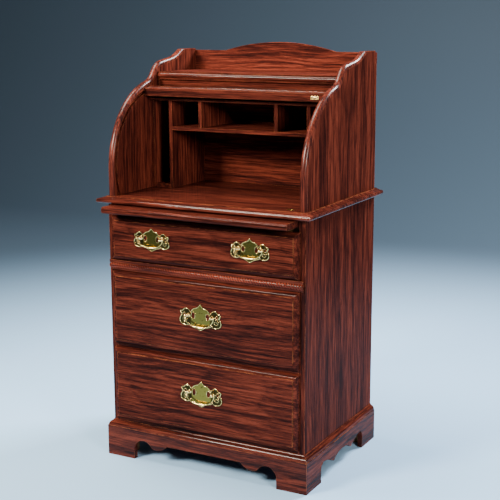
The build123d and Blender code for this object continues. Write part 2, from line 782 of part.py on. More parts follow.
slat_r = (tambour_r - slat_t / 2, tambour_r + slat_t / 2)
rail_r = (tambour_r - lift_rail_t / 2, tambour_r + lift_rail_t / 2)
slat_x = hutch_in + groove_d - groove_fit
inner_x = hutch_in - 1.0
half_slat = slat_pitch / 2 - slat_gap / 2 / slat_r[0] * 57.2958
last_turn = slat_first + slat_n * slat_pitch
with BuildPart() as tambour_slats:
    for i in range(slat_n):
        with BuildSketch(curtain_plane(rest_turn + slat_first + (i + 0.5) * slat_pitch)):
            with BuildLine():
                edge = slat_r[1] - slat_crown
                ThreePointArc(polar(slat_r[0], -half_slat), (slat_r[0], 0), polar(slat_r[0], half_slat))
                Line(polar(slat_r[0], half_slat), polar(edge, half_slat))
                ThreePointArc(polar(edge, half_slat), (slat_r[1], 0), polar(edge, -half_slat))
                Line(polar(edge, -half_slat), polar(slat_r[0], -half_slat))
            make_face()
        extrude(amount=slat_x, both=True)
keep(tambour_slats, "tambour_slats")

with BuildPart() as tambour_canvas:
    canvas_r = slat_r[0] - glue_gap
    with BuildSketch(curtain_plane(rest_turn)):
        with BuildLine():
            mid_turn = (slat_first + last_turn) / 2
            low, high = slat_first + 0.2, last_turn - 0.2
            ThreePointArc(polar(canvas_r, low), polar(canvas_r, mid_turn), polar(canvas_r, high))
            Line(polar(canvas_r, high), polar(canvas_r - canvas_t, high))
            ThreePointArc(polar(canvas_r - canvas_t, high), polar(canvas_r - canvas_t, mid_turn),
                          polar(canvas_r - canvas_t, low))
            Line(polar(canvas_r - canvas_t, low), polar(canvas_r, low))
        make_face()
    extrude(amount=inner_x, both=True)
keep(tambour_canvas, "tambour_canvas")

foot_y = rail_clear - arc_up
rail_top = slat_first - 0.1


def foot_point(radius):
    """Where a circle of the curtain meets the closed rail's flat underside."""
    return ((radius**2 - foot_y**2) ** 0.5, foot_y)


def rail_section(inner, outer):
    """The lift rail's section between two radii, in the closed curtain's frame."""
    with BuildSketch(curtain_plane(rest_turn)) as section:
        mid = -(-rail_top + 20) / 2
        with BuildLine():
            ThreePointArc(polar(inner, rail_top), polar(inner, mid), foot_point(inner))
            Line(foot_point(inner), foot_point(outer))
            ThreePointArc(foot_point(outer), polar(outer, mid), polar(outer, rail_top))
            Line(polar(outer, rail_top), polar(inner, rail_top))
        make_face()
    return section.sketch


catch_mid = foot_point(tambour_r)[0]


def catch_box(across, deep, high, mode=Mode.ADD):
    """A block on the rail's underside, in the closed curtain's frame."""
    with BuildSketch(curtain_plane(rest_turn).offset(-catch_x)) as flat:
        with Locations((catch_mid, foot_y + (high[0] + high[1]) / 2)):
            Rectangle(deep, high[1] - high[0])
    extrude(flat.sketch, amount=across / 2, both=True, mode=mode)


with BuildPart() as tambour_rail:
    extrude(rail_section(*rail_r), amount=inner_x, both=True)
    extrude(rail_section(*slat_r), amount=slat_x, both=True)
    with BuildSketch(curtain_plane(rest_turn)) as finger:
        with Locations(polar(rail_r[1] + 0.4 * finger_r, -16.6)):
            Circle(finger_r)
    extrude(finger.sketch, amount=inner_x, both=True, mode=Mode.SUBTRACT)
    catch_box(catch_w, catch_d, (0, catch_t), Mode.SUBTRACT)
keep(tambour_rail, "tambour_rail")

with BuildPart() as rail_catch:
    catch_box(catch_w, catch_d, (0, catch_t))
    catch_box(8, 3, (-1.0, 0))
keep(rail_catch, "rail_catch")

# =====================================================================
# Pigeonholes: upright boards, a shelf, a thin top and a two-part back
# =====================================================================
pig_back = arc_y + canvas_in - pigeon_rear
knee_z = arc_z + ((canvas_in - knee_clear) ** 2 - (pig_back + back_t - arc_y) ** 2) ** 0.5
pig_top = arc_z + canvas_in - pigeon_head
rear_high = pig_top + 1.31 * back_t - arc_z
pig_rear = arc_y + ((canvas_in - top_clear) ** 2 - rear_high**2) ** 0.5
pig_shelf = pig_top - cubby_h - pigeon_t
end_x = hutch_in - pigeon_t
tall_x = end_x - slot_w - pigeon_t
short_x = tall_x - cubby_w - pigeon_t


def upright(across, low):
    """An upright board across `across`, from z = low up to the thin top."""
    x0, x1 = sorted(across)
    with BuildSketch(Plane.YZ.offset(x0)) as outline:
        with BuildLine():
            Polyline((pigeon_y, low), (pig_back, low), (pig_back, knee_z), (pig_rear, pig_top),
                     (pigeon_y, pig_top), (pigeon_y, low))
        make_face()
    extrude(outline.sketch, amount=x1 - x0)


for name, x, low in (
    ("pigeon_ends", end_x, desk_z), ("pigeon_dividers", tall_x, desk_z),
    ("cubby_dividers", short_x, pig_shelf + pigeon_t),
):
    with BuildPart() as pair:
        for side in (-1, 1):
            upright((side * x, side * (x + pigeon_t)), low)
    keep(pair, name)

with BuildPart() as pigeon_shelf:
    board((-tall_x, tall_x), (pigeon_y, pig_back), (pig_shelf, pig_shelf + pigeon_t))
keep(pigeon_shelf, "pigeon_shelf")

with BuildPart() as pigeon_top:
    board((-hutch_in, hutch_in), (pigeon_y, pig_rear), (pig_top, pig_top + pigeon_top_t))
keep(pigeon_top, "pigeon_top")

with BuildPart() as slot_floors:
    for side in (-1, 1):
        across = sorted((side * (tall_x + pigeon_t), side * end_x))
        board(across, (pigeon_y, pig_back), (desk_z, desk_z + floor_t))
keep(slot_floors, "slot_floors")

with BuildPart() as pigeon_back_lower:
    board((-hutch_in, hutch_in), (pig_back, pig_back + back_t), (desk_z, knee_z))
keep(pigeon_back_lower, "pigeon_back_lower")

with BuildPart() as pigeon_back_upper:
    run, climb = pig_back - pig_rear, pig_top - knee_z
    length = hypot(run, climb)
    out = (climb / length * back_t, run / length * back_t)
    with BuildSketch(Plane.YZ):
        with BuildLine():
            lift_z = (pig_back + out[0] - pig_rear) * climb / run
            Polyline(
                (pig_back, knee_z), (pig_back + back_t, knee_z), (pig_back + out[0], knee_z + out[1]),
                (pig_rear, knee_z + out[1] + lift_z), (pig_rear, pig_top), (pig_back, knee_z),
            )
        make_face()
    extrude(amount=hutch_in, both=True)
keep(pigeon_back_upper, "pigeon_back_upper")
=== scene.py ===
from math import cos, radians, sin

import bmesh
import bpy
import numpy as np
from mathutils import Matrix, Vector


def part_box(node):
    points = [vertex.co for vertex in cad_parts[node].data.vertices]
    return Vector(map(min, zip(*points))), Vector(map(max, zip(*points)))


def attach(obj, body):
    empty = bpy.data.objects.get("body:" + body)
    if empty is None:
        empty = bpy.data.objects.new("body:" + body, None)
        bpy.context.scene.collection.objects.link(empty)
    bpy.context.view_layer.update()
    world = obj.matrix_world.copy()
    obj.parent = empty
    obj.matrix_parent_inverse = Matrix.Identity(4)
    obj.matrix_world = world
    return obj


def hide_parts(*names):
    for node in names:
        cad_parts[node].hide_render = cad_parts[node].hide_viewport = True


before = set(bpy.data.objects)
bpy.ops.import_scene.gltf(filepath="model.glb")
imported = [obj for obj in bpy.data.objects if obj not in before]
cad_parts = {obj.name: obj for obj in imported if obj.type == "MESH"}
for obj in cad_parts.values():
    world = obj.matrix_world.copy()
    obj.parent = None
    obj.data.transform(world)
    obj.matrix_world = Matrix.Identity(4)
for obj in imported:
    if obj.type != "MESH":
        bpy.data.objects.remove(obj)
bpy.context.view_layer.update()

# ---------------------------------------------------------------------
# Studio: a pale floor that runs up into a wall, painted with a pool of light that fades to blue-grey, four
# soft lamps, and a camera that looks down a little onto the desk from its right.
# ---------------------------------------------------------------------
camera_turn, camera_height, camera_roll = radians(28.187), radians(11.789), radians(-0.2135)
camera_aim = Vector((0.0223, 0.021, 0.6045))
camera_distance, camera_lens = 3.2251, 81.495
behind = Vector((sin(camera_turn) * cos(camera_height), -cos(camera_turn) * cos(camera_height),
                 sin(camera_height)))
level = Vector((0, 0, 1)).cross(behind).normalized()
upward = behind.cross(level)
right = level * cos(camera_roll) + upward * sin(camera_roll)
above = upward * cos(camera_roll) - level * sin(camera_roll)
camera = bpy.data.objects.new("camera", bpy.data.cameras.new("camera"))
camera.data.lens = camera_lens
camera.data.shift_x, camera.data.shift_y = 0.0008, -0.0076
camera.data.clip_end = 60
facing = Matrix((right, above, behind)).transposed().to_4x4()
camera.matrix_world = Matrix.Translation(camera_aim + behind * camera_distance) @ facing
bpy.context.scene.collection.objects.link(camera)
bpy.context.scene.camera = camera


def new_material(name):
    """A new material; returns it with its node tree and its shader."""
    material = bpy.data.materials.new(name)
    material.use_nodes = True
    return material, material.node_tree, material.node_tree.nodes["Principled BSDF"]


def feed(tree, node, into):
    """Joins each named input of a node to an output, or sets its value."""
    for socket, source in into.items():
        if hasattr(source, "is_output"):
            tree.links.new(source, node.inputs[socket])
        else:
            node.inputs[socket].default_value = source


def wire(tree, kind, into=None, **values):
    """Adds a node, sets its properties and feeds its inputs."""
    node = tree.nodes.new(kind)
    for key, value in values.items():
        setattr(node, key, value)
    feed(tree, node, into or {})
    return node


def ranged(tree, value, start, stop, most=1.0, **values):
    """A value rescaled to grow from 0 at start to the most at stop."""
    return wire(tree, "ShaderNodeMapRange", {
        "Value": value, "From Min": start, "From Max": stop, "To Max": most}, **values).outputs[0]


def ramped(tree, value, stops):
    """A colour that follows a value through stops of place and tone."""
    tones = wire(tree, "ShaderNodeValToRGB", {0: value})
    ramp = tones.color_ramp
    ramp.elements.remove(ramp.elements[1])
    for number, (place, tone) in enumerate(stops):
        stop = ramp.elements.new(place) if number else ramp.elements[0]
        stop.position, stop.color = place, (*tone, 1)
    return tones.outputs[0]


def surface(name, grids):
    """One smooth mesh over grids of points[u, v], each cell a quad; a closed
    direction joins its last row to its first, and rows that meet in one
    point are merged there into a pole."""
    mesh = bpy.data.meshes.new(name)
    points, quads, count = [], [], 0
    for grid, closed_u, closed_v in grids:
        rows, columns = grid.shape[:2]
        index = np.arange(rows * columns).reshape(rows, columns) + count
        index = np.vstack([index, index[:1]]) if closed_u else index
        index = np.hstack([index, index[:, :1]]) if closed_v else index
        cells = np.stack([index[:-1, :-1], index[1:, :-1], index[1:, 1:], index[:-1, 1:]], axis=-1)
        points.append(grid.reshape(-1, 3))
        quads.append(cells.reshape(-1, 4))
        count += rows * columns
    mesh.from_pydata(np.concatenate(points).tolist(), [], np.concatenate(quads).tolist())
    clean = bmesh.new()
    clean.from_mesh(mesh)
    bmesh.ops.remove_doubles(clean, verts=clean.verts, dist=1e-6)
    bmesh.ops.recalc_face_normals(clean, faces=clean.faces)
    clean.to_mesh(mesh)
    clean.free()
    mesh.polygons.foreach_set("use_smooth", np.ones(len(mesh.polygons), dtype=bool))
    piece = bpy.data.objects.new(name, mesh)
    bpy.context.scene.collection.objects.link(piece)
    return piece


# The floor's profile, flat, then a quarter round, then upright, carried in X.
floor_reach, sweep_start, sweep_radius, wall_top = 9.0, 3.0, 1.5, 7.0
sweep_angle = np.linspace(0, np.pi / 2, 24)
floor_y = np.concatenate([[-floor_reach], sweep_start + sweep_radius * np.sin(sweep_angle),
                          [sweep_start + sweep_radius]])
floor_z = np.concatenate([[0.0], sweep_radius - sweep_radius * np.cos(sweep_angle), [wall_top]])
floor_x = np.array([-floor_reach, floor_reach])
backdrop_points = np.stack(np.broadcast_arrays(
    floor_x[None, :], floor_y[:, None], floor_z[:, None]), axis=-1)
backdrop = surface("backdrop", [(backdrop_points, False, False)])
if backdrop.data.polygons[0].normal.z < 0:
    backdrop.data.flip_normals()

# The paper carries a painted pool of light: palest round the desk, fading to dark blue-grey away from it.
paper_lit, paper_dark = (0.36, 0.60, 0.88), (0.055, 0.085, 0.12)
fade_start, fade_stop = 0.6, 3.2
paper, paper_tree, paper_shader = new_material("backdrop_paper")
paper_place = wire(paper_tree, "ShaderNodeTexCoord").outputs["Object"]
paper_reach = wire(paper_tree, "ShaderNodeVectorMath", {0: paper_place}, operation="LENGTH")
# Painted light: the paper's colour fades with distance from the desk.
paper_painted_light_fade = ranged(paper_tree, paper_reach.outputs["Value"], fade_start, fade_stop,
                    interpolation_type="SMOOTHSTEP")
feed(paper_tree, paper_shader, {
    "Base Color": ramped(paper_tree, paper_painted_light_fade, ((0.0, paper_lit), (1.0, paper_dark))),
    "Roughness": 0.6, "Specular IOR Level": 0.2})
backdrop.data.materials.append(paper)

world = bpy.data.worlds.new("studio")
bpy.context.scene.world = world
world.use_nodes = True
feed(world.node_tree, world.node_tree.nodes["Background"],
     {"Color": (0.70, 0.82, 1.0, 1), "Strength": 0.10})

lamps_aim = Vector((0, 0, 0.6))
for lamp_name, at, size, power, colour in (
    ("key_lamp", (-1.5, -2.9, 2.5), 0.9, 260, (1.0, 0.91, 0.78)),
    ("fill_lamp", (2.9, -1.9, 1.9), 0.9, 120, (1.0, 0.92, 0.82)),
    ("top_lamp", (-1.0, -0.2, 3.3), 1.4, 160, (1.0, 0.92, 0.80)),
    ("floor_lamp", (1.3, 2.6, 3.0), 1.2, 380, (0.95, 0.98, 1.0)),
):
    lamp = bpy.data.objects.new(lamp_name, bpy.data.lights.new(lamp_name, "AREA"))
    lamp.data.size, lamp.data.energy, lamp.data.color = size, power, colour
    lamp.location = at
    lamp.rotation_euler = (lamps_aim - Vector(at)).to_track_quat("-Z", "Y").to_euler()
    bpy.context.scene.collection.objects.link(lamp)


# ---------------------------------------------------------------------
# Bracket base: mitred mahogany boards sawn to a scrolled lower edge and run
# with an ogee, over a plain back rail and glued corner blocks of pale wood.
# ---------------------------------------------------------------------
def shader_group(name, inputs, outputs):
    """A node group; returns it with the sockets it reads and those it sets."""
    group = bpy.data.node_groups.new(name, "ShaderNodeTree")
    for label, kind in inputs:
        group.interface.new_socket(label, in_out="INPUT", socket_type=f"NodeSocket{kind}")
    for label, kind in outputs:
        group.interface.new_socket(label, in_out="OUTPUT", socket_type=f"NodeSocket{kind}")
    return group, group.nodes.new("NodeGroupInput").outputs, group.nodes.new("NodeGroupOutput").inputs


def sum_up(tree, operation, a, b=0.0, c=0.0, clamp=False):
    """One arithmetic step; returns its output."""
    into = {0: a, 1: b, 2: c} if operation == "MULTIPLY_ADD" else {0: a, 1: b}
    return wire(tree, "ShaderNodeMath", into, operation=operation, use_clamp=clamp).outputs[0]


def vector_sum(tree, operation, a, b):
    """One step with two vectors; returns its vector."""
    return wire(tree, "ShaderNodeVectorMath", {0: a, 1: b}, operation=operation).outputs[0]


def stretched(tree, place, along, across, detail, roughness=0.5):
    """Noise drawn out along the grain: features per metre along and across."""
    scaled = wire(tree, "ShaderNodeMapping", {"Vector": place, "Scale": (along, across, across)})
    return wire(tree, "ShaderNodeTexNoise", {"Vector": scaled.outputs[0], "Scale": 1.0,
                                             "Detail": detail, "Roughness": roughness}).outputs[0]


# The figure of a sawn board: dark streaks of three widths that wander with
# the grain, arches where growth rings (cylinders round a leaning pith) meet
# the face, and short open pores.
broad_share, streak_share, hair_share = 0.24, 0.50, 0.36
dark_from, dark_to, pore_from, pore_to = 0.455, 0.70, 0.60, 0.70
pith_lean, ring_fray, late_wood = 0.055, 0.006, 2.5
figure, figure_in, figure_out = shader_group(
    "wood_figure",
    [("Along Across Deep", "Vector"), ("Pith", "Vector"), ("Ring", "Float"), ("Waver", "Float"),
     ("Arches", "Float")],
    [("Dark", "Float"), ("Pore", "Float")],
)
straight = figure_in["Along Across Deep"]
wander = sum_up(figure, "SUBTRACT", stretched(figure, straight, 2.4, 9.0, detail=2.0), 0.5)
sideways = sum_up(figure, "MULTIPLY", wander, figure_in["Waver"])
drift = wire(figure, "ShaderNodeCombineXYZ", {1: sideways, 2: sideways}).outputs[0]
bent = vector_sum(figure, "ADD", straight, drift)
broad = stretched(figure, bent, 1.5, 22.0, detail=2.0)
streak = stretched(figure, bent, 5.0, 120.0, detail=5.0, roughness=0.66)
hair = stretched(figure, bent, 14.0, 400.0, detail=3.0, roughness=0.6)

off_pith = vector_sum(figure, "SUBTRACT", bent, figure_in["Pith"])
pith_parts = wire(figure, "ShaderNodeSeparateXYZ", {0: off_pith}).outputs
leaned = sum_up(figure, "MULTIPLY_ADD", pith_parts[0], pith_lean, pith_parts[2])
squares = [sum_up(figure, "POWER", sum_up(figure, "ABSOLUTE", part), 2.0) for part in (pith_parts[1], leaned)]
from_pith = sum_up(figure, "SQRT", sum_up(figure, "ADD", *squares))
frayed = sum_up(figure, "MULTIPLY_ADD", hair, ring_fray, from_pith)
ring_phase = sum_up(figure, "FRACT", sum_up(figure, "DIVIDE", frayed, figure_in["Ring"]))
late = sum_up(figure, "MULTIPLY", sum_up(figure, "POWER", ring_phase, late_wood), figure_in["Arches"])

mixed = sum_up(figure, "MULTIPLY", broad, broad_share)
mixed = sum_up(figure, "MULTIPLY_ADD", hair, hair_share, mixed)
mixed = sum_up(figure, "MULTIPLY_ADD", streak, streak_share, mixed)
spread = ranged(figure, mixed, dark_from, dark_to)
pore = ranged(figure, stretched(figure, bent, 70.0, 1300.0, detail=1.0), pore_from, pore_to)
figure.links.new(sum_up(figure, "ADD", spread, late, clamp=True), figure_out["Dark"])
figure.links.new(pore, figure_out["Pore"])

# Edges: a bevel-rounded normal, and a mask where it turns from the flat one,
# broken up by noise, for finish rubbed thin on the arrises and a painted highlight along them.
flat_dot, sharp_dot = 0.995, 0.92
rub_scale, rub_from, rub_to = 45.0, 0.38, 0.60
edges, edges_in, edges_out = shader_group(
    "rubbed_and_highlit_edges", [("Place", "Vector"), ("Radius", "Float")], [("Rubbed And Highlit", "Float"), ("Rounded", "Vector")])
rounded = wire(edges, "ShaderNodeBevel", {"Radius": edges_in["Radius"]}, samples=4).outputs[0]
flat = wire(edges, "ShaderNodeNewGeometry").outputs["Normal"]
turn = wire(edges, "ShaderNodeVectorMath", {0: rounded, 1: flat}, operation="DOT_PRODUCT").outputs["Value"]
rub = wire(edges, "ShaderNodeTexNoise", {"Vector": edges_in["Place"], "Scale": rub_scale, "Detail": 3.0})
rubbed_and_highlit_mask = sum_up(edges, "MULTIPLY", ranged(edges, turn, flat_dot, sharp_dot),
                   ranged(edges, rub.outputs[0], rub_from, rub_to))
edges.links.new(rubbed_and_highlit_mask, edges_out["Rubbed And Highlit"])
edges.links.new(rounded, edges_out["Rounded"])

# Along, across and deep as X, Y, Z numbers: which way a board's grain runs,
# and whether its wide face is upright or flat.
along_x, along_x_flat = (0, 2, 1), (0, 1, 2)
along_y, along_y_flat = (1, 2, 0), (1, 0, 2)
along_z, along_z_front = (2, 1, 0), (2, 0, 1)

# Finishes, palest tone first: stained mahogany in three glosses, and bare wood.
satin = {"tones": ((0.0, (0.134, 0.0270, 0.0150)), (0.35, (0.067, 0.0130, 0.0080)),
                   (0.65, (0.026, 0.0056, 0.0042)), (1.0, (0.0085, 0.0028, 0.0026))),
         "rubbed_highlight_tone": (0.36, 0.110, 0.042), "arches": 0.16, "pores": 0.25,
         "roughness": 0.40, "specular": 0.0, "coat": 0.07, "coat_roughness": 0.14}
glossy = {**satin, "coat": 0.22, "coat_roughness": 0.10}
polished = {**satin, "coat": 0.48, "coat_roughness": 0.05, "roughness": 0.25}
bare = {"tones": ((0.0, (0.36, 0.215, 0.105)), (0.35, (0.29, 0.165, 0.075)),
                  (0.7, (0.21, 0.110, 0.048)), (1.0, (0.12, 0.058, 0.026))),
        "rubbed_highlight_tone": (0.42, 0.27, 0.14), "arches": 0.30, "pores": 0.15,
        "roughness": 0.62, "specular": 0.25, "coat": 0.0, "coat_roughness": 0.3}


def toned(finish, share):
    """The same finish made lighter or darker: every tone times share."""
    return {**finish, "tones": tuple(
        (stop, tuple(share * part for part in tone)) for stop, tone in finish["tones"])}


def dress(node, material):
    """Gives a CAD piece one material all over."""
    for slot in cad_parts[node].material_slots:
        slot.material = material


# How a board lies in its log: its noise starts up to log_spread away, and the
# pith runs off past one of its ends and behind one of its faces.
log_spread, pith_end, pith_end_slack, pith_aside, pith_depth = 4.0, 3.0, 0.5, 0.06, (0.10, 0.16)
ring_width, grain_waver = 0.011, 0.030
# Edges turn toward a paler tone, for finish rubbed thin and a painted highlight.
edge_rub_and_highlight_share, dark_roughness, grain_bump, grain_depth = 0.70, 0.10, 0.15, 0.0004
mix_a, mix_b, mix_out = 6, 7, 2     # a mix node's two colours and its result
log = np.random.default_rng(7)


def board(node, grain, finish=satin, edge_radius=0.0016):
    """Gives a board its wood, with the grain along one axis. Each board takes
    its own place in the log, so no two show the same figure."""
    material, tree, shader = new_material(f"wood_{node}")
    spot = wire(tree, "ShaderNodeTexCoord").outputs["Object"]
    parts = wire(tree, "ShaderNodeSeparateXYZ", {0: spot}).outputs
    turned_place = wire(tree, "ShaderNodeCombineXYZ", {i: parts[grain[i]] for i in range(3)}).outputs[0]
    low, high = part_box(node)
    centre = [(low[grain[i]] + high[grain[i]]) / 2 for i in range(3)]
    offset = Vector(log.uniform(-log_spread, log_spread, 3))
    pith = Vector((
        centre[0] + log.uniform(-pith_end_slack, pith_end_slack) + log.choice((-pith_end, pith_end)),
        centre[1] + log.uniform(-pith_aside, pith_aside),
        centre[2] + log.choice((-1, 1)) * log.uniform(*pith_depth)))
    place = wire(tree, "ShaderNodeMapping", {"Vector": turned_place, "Location": offset}).outputs[0]
    drawn = wire(tree, "ShaderNodeGroup", {
        "Along Across Deep": place, "Pith": pith + offset, "Ring": ring_width, "Waver": grain_waver,
        "Arches": finish["arches"]}, node_tree=figure).outputs
    dark = sum_up(tree, "MULTIPLY_ADD", drawn["Pore"], finish["pores"], drawn["Dark"], clamp=True)
    edge = wire(tree, "ShaderNodeGroup", {"Place": spot, "Radius": edge_radius}, node_tree=edges).outputs
    # Towards the edges the colour goes paler: rubbed finish plus a painted highlight.
    colour = wire(tree, "ShaderNodeMix", {
        "Factor": sum_up(tree, "MULTIPLY", edge["Rubbed And Highlit"], edge_rub_and_highlight_share),
        mix_a: ramped(tree, dark, finish["tones"]), mix_b: (*finish["rubbed_highlight_tone"], 1)}, data_type="RGBA")
    bump = wire(tree, "ShaderNodeBump", {
        "Strength": grain_bump, "Distance": grain_depth, "Height": sum_up(tree, "SUBTRACT", 1.0, dark),
        "Normal": edge["Rounded"]})
    feed(tree, shader, {
        "Base Color": colour.outputs[mix_out], "Normal": bump.outputs[0],
        "Roughness": sum_up(tree, "MULTIPLY_ADD", dark, dark_roughness, finish["roughness"]),
        "Specular IOR Level": finish["specular"],
        "Coat Weight": finish["coat"], "Coat Roughness": finish["coat_roughness"]})
    dress(node, material)
    return material


board("plinth_front", along_x, glossy)
board("plinth_side_left", along_y, glossy)
board("plinth_side_right", along_y, glossy)
board("plinth_back", along_x, bare)
board("corner_blocks", along_z, bare)

# ---------------------------------------------------------------------
# Case: two upright mahogany sides with a bottom, back panel and two rails
# between them; runners, cross rail and cleats inside are of pale bare wood.
# ---------------------------------------------------------------------
for node, grain in (("case_side_left", along_z), ("case_side_right", along_z), ("case_back", along_z_front),
                    ("drawer_rail_lower", along_x), ("drawer_rail_upper", along_x)):
    board(node, grain)
board("case_bottom", along_x_flat, toned(satin, 0.75))
for node, grain in (("drawer_runners", along_y), ("slide_cleats", along_y), ("slide_cross_rail", along_x)):
    board(node, grain, bare)

# ---------------------------------------------------------------------
# Rope moulding: a strip of mahogany across the case over the middle drawer,
# its bead carved as a three-strand rope, between a fillet and a flat.
# ---------------------------------------------------------------------
rope_wood = board("rope_moulding", along_x, glossy)
rope_radius, rope_groove, rope_strands, rope_lead = 0.0088, 0.0026, 3, 0.0240
rope_inset, rope_rise, rope_end_gap = 0.0075, 0.0125, 0.001
rope_low, rope_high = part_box("rope_moulding")
rope_y, rope_z = rope_low[1] + rope_inset, rope_low[2] + rope_rise


def twisted_bead(x_from, x_to, step=0.0009, sides=24):
    """A rope along X: at angle t round its middle the radius is the full one
    less the groove times (1 - |cos(strands / 2 (t - turn))|), and the turn
    grows by one round in each lead; both ends close to a point."""
    x = np.linspace(x_from, x_to, int((x_to - x_from) / step))
    x = np.concatenate([[x_from], x, [x_to]])[:, None]
    t = np.linspace(0, 2 * np.pi, sides, endpoint=False)[None, :]
    lobe = np.abs(np.cos(rope_strands / 2 * (t - 2 * np.pi * x / rope_lead)))
    reach = rope_radius - rope_groove * (1 - lobe)
    reach[0], reach[-1] = 0, 0
    return np.stack([x + 0 * t, rope_y + reach * np.cos(t), rope_z + reach * np.sin(t)], axis=-1)


rope = surface("rope_twist", [
    (twisted_bead(rope_low[0] + rope_end_gap, rope_high[0] - rope_end_gap), False, True)])

# The same wood, with painted shade darkening the grooves and a painted highlight brightening the strands.
groove_painted_shade, strand_painted_highlight, groove_until = (0.05, 0.04, 0.04), (2.6, 2.3, 2.1), 0.25
corners = np.empty(len(rope.data.vertices) * 3)
rope.data.vertices.foreach_get("co", corners)
corners = corners.reshape(-1, 3)
rise = np.hypot(corners[:, 1] - rope_y, corners[:, 2] - rope_z)
crown = np.clip((rise - rope_radius + rope_groove) / rope_groove, 0, 1)
rope.data.attributes.new("crown", "FLOAT", "POINT").data.foreach_set("value", crown)
carved = rope_wood.copy()
carved.name = "wood_rope_twist"
carved_tree = carved.node_tree
carved_shader = carved_tree.nodes["Principled BSDF"]
crown_value = wire(carved_tree, "ShaderNodeAttribute", attribute_name="crown").outputs["Fac"]
# Painted shade in the grooves and a painted highlight on the strands, multiplied over the wood.
painted_groove_shade_and_highlight = wire(carved_tree, "ShaderNodeMix", {
    "Factor": 1.0, mix_a: carved_shader.inputs["Base Color"].links[0].from_socket,
    mix_b: ramped(carved_tree, crown_value, ((groove_until, groove_painted_shade), (1.0, strand_painted_highlight)))},
    data_type="RGBA", blend_type="MULTIPLY")
feed(carved_tree, carved_shader, {"Base Color": painted_groove_shade_and_highlight.outputs[mix_out]})
rope.data.materials.append(carved)
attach(rope, "desk")

# ---------------------------------------------------------------------
# Drawers: lipped mahogany fronts with a moulded edge, on nailed boxes of pale
# bare wood with thin bottoms.
# ---------------------------------------------------------------------
for tag in ("low", "mid", "top"):
    board(f"drawer_front_{tag}", along_x, {**satin, "arches": 0.24}, edge_radius=0.0026)
    board(f"drawer_box_{tag}", along_y, bare)
    board(f"drawer_bottom_{tag}", along_x_flat, bare)

# ---------------------------------------------------------------------
# Pulls: cast brass batwing plates with a raised rim, pierced eyes and scrolled
# wings, turned posts, and a swinging bail that is brighter than its plate.
# ---------------------------------------------------------------------
tarnish_from, tarnish_to, tarnish_roughness = 0.62, 0.78, 0.16
wing_from, wing_to, wing_patina = 0.44, 0.52, 0.9
cloud_scale, cast_scale, cast_bump, cast_depth, cast_edge = 160.0, 420.0, 0.35, 0.0004, 0.0006


def brass(name, bright, dull, roughness, tarnish, plate=None):
    """Lacquered brass: bright metal clouded with darker tarnish and marked by
    the casting's fine grain. On a plate, given by its middle's distance from
    the desk's middle and its half width, the sunk ground of both wings is
    dark with old polish."""
    material, tree, shader = new_material(name)
    spot = wire(tree, "ShaderNodeTexCoord").outputs["Object"]
    cloud = wire(tree, "ShaderNodeTexNoise", {"Vector": spot, "Scale": cloud_scale, "Detail": 4.0})
    patches = ranged(tree, cloud.outputs[0], tarnish_from - tarnish, tarnish_to - tarnish)
    if plate:
        off_middle, half_width = plate
        off_desk = sum_up(tree, "ABSOLUTE", wire(tree, "ShaderNodeSeparateXYZ", {0: spot}).outputs[0])
        off_plate = sum_up(tree, "ABSOLUTE", sum_up(tree, "SUBTRACT", off_desk, off_middle))
        patina = ranged(tree, off_plate, wing_from * half_width, wing_to * half_width, wing_patina)
        patches = sum_up(tree, "MAXIMUM", patches, patina)
    colour = wire(tree, "ShaderNodeMix", {
        "Factor": patches, mix_a: (*bright, 1), mix_b: (*dull, 1)}, data_type="RGBA")
    edge = wire(tree, "ShaderNodeGroup", {"Place": spot, "Radius": cast_edge}, node_tree=edges)
    fine = wire(tree, "ShaderNodeTexNoise", {"Vector": spot, "Scale": cast_scale, "Detail": 3.0})
    bump = wire(tree, "ShaderNodeBump", {
        "Strength": cast_bump, "Distance": cast_depth, "Height": fine.outputs[0],
        "Normal": edge.outputs["Rounded"]})
    feed(tree, shader, {
        "Metallic": 1.0, "Base Color": colour.outputs[mix_out], "Normal": bump.outputs[0],
        "Roughness": sum_up(tree, "MULTIPLY_ADD", patches, tarnish_roughness, roughness)})
    return material


catch_brass = brass("brass_catch", (0.46, 0.38, 0.085), (0.035, 0.030, 0.010), 0.26, 0.08)
bail_brass = brass("brass_bail", (0.85, 0.60, 0.20), (0.18, 0.12, 0.03), 0.18, 0.05)
bright_brass = brass("brass_bright", (0.98, 0.69, 0.26), (0.34, 0.22, 0.06), 0.17, 0.06)

# Half the plate's outline, top point round to bottom point, each arc by its
# two ends and a point between, in halves of the plate's width and height.
plate_arcs = np.array([
    ((0, 1), (0.08, 0.80), (0.20, 0.68)), ((0.20, 0.68), (0.34, 0.59), (0.44, 0.39)),
    ((0.44, 0.39), (0.47, 0.34), (0.51, 0.32)), ((0.51, 0.32), (0.57, 0.48), (0.65, 0.58)),
    ((0.65, 0.58), (0.77, 0.56), (0.84, 0.42)), ((0.84, 0.42), (0.92, 0.35), (1, 0.39)),
    ((1, 0.39), (0.93, 0.18), (0.91, 0)), ((0.91, 0), (1.0, -0.36), (0.82, -0.64)),
    ((0.82, -0.64), (0.68, -0.66), (0.56, -0.46)), ((0.56, -0.46), (0.50, -0.60), (0.44, -0.66)),
    ((0.44, -0.66), (0.20, -0.78), (0, -1)),
])


def spaced(line, count, closed):
    """The same line as count evenly spaced points."""
    run = np.concatenate([[0], np.cumsum(np.linalg.norm(np.diff(line, axis=0), axis=1))])
    even = np.linspace(0, run[-1], count, endpoint=not closed)
    return np.stack([np.interp(even, run, line[:, 0]), np.interp(even, run, line[:, 1])], axis=-1)


